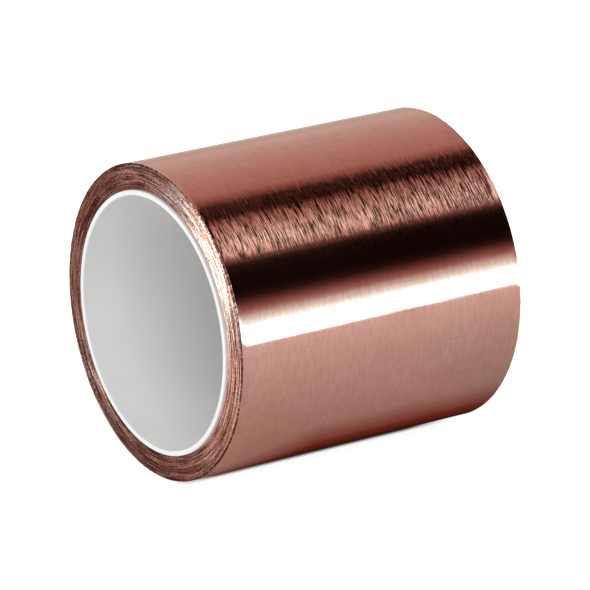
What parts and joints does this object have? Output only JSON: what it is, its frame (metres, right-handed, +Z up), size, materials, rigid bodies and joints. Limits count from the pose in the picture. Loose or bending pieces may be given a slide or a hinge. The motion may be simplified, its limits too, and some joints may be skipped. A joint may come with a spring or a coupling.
{
  "type": "copper foil tape roll",
  "caption": "Wide roll of adhesive-backed copper foil wound with a paper liner on a white plastic core, with a free end that lifts and peels.",
  "frame": {"origin": "middle of the bore, halfway along the core", "axes": "+Y along the roll's axis, +Z up with the roll lying on its side, +X to the side away from the free end"},
  "size_m": [0.095, 0.1, 0.095],
  "materials": {
    "core_plastic": "satin",
    "copper_foil": "satin",
    "adhesive": "gloss",
    "liner_paper": "matte",
    "tab_film": "gloss"
  },
  "bodies": {
    "roll": {"core_tube": "core_plastic", "core_start_tab": "tab_film", "wound_turns": "copper_foil", "outer_turn_liner": "liner_paper", "outer_turn_adhesive": "adhesive", "outer_turn_foil": "copper_foil"},
    "tail": {"tail_liner": "liner_paper", "tail_adhesive": "adhesive", "tail_foil": "copper_foil"},
    "peel_end": {"peel_end_adhesive": "adhesive", "peel_end_foil": "copper_foil"}
  },
  "joints": [
    {"name": "tail_lift", "type": "hinge", "parent": "roll", "child": "tail", "pos_m": [-0.04116, 0, 0.02377], "axis": [0, 1, 0], "range_deg": [0, 100]},
    {"name": "foil_peel", "type": "hinge", "parent": "tail", "child": "peel_end", "pos_m": [-0.0465, 0, 0.00988], "axis": [0, 1, 0], "range_deg": [0, 70]}
  ]
}
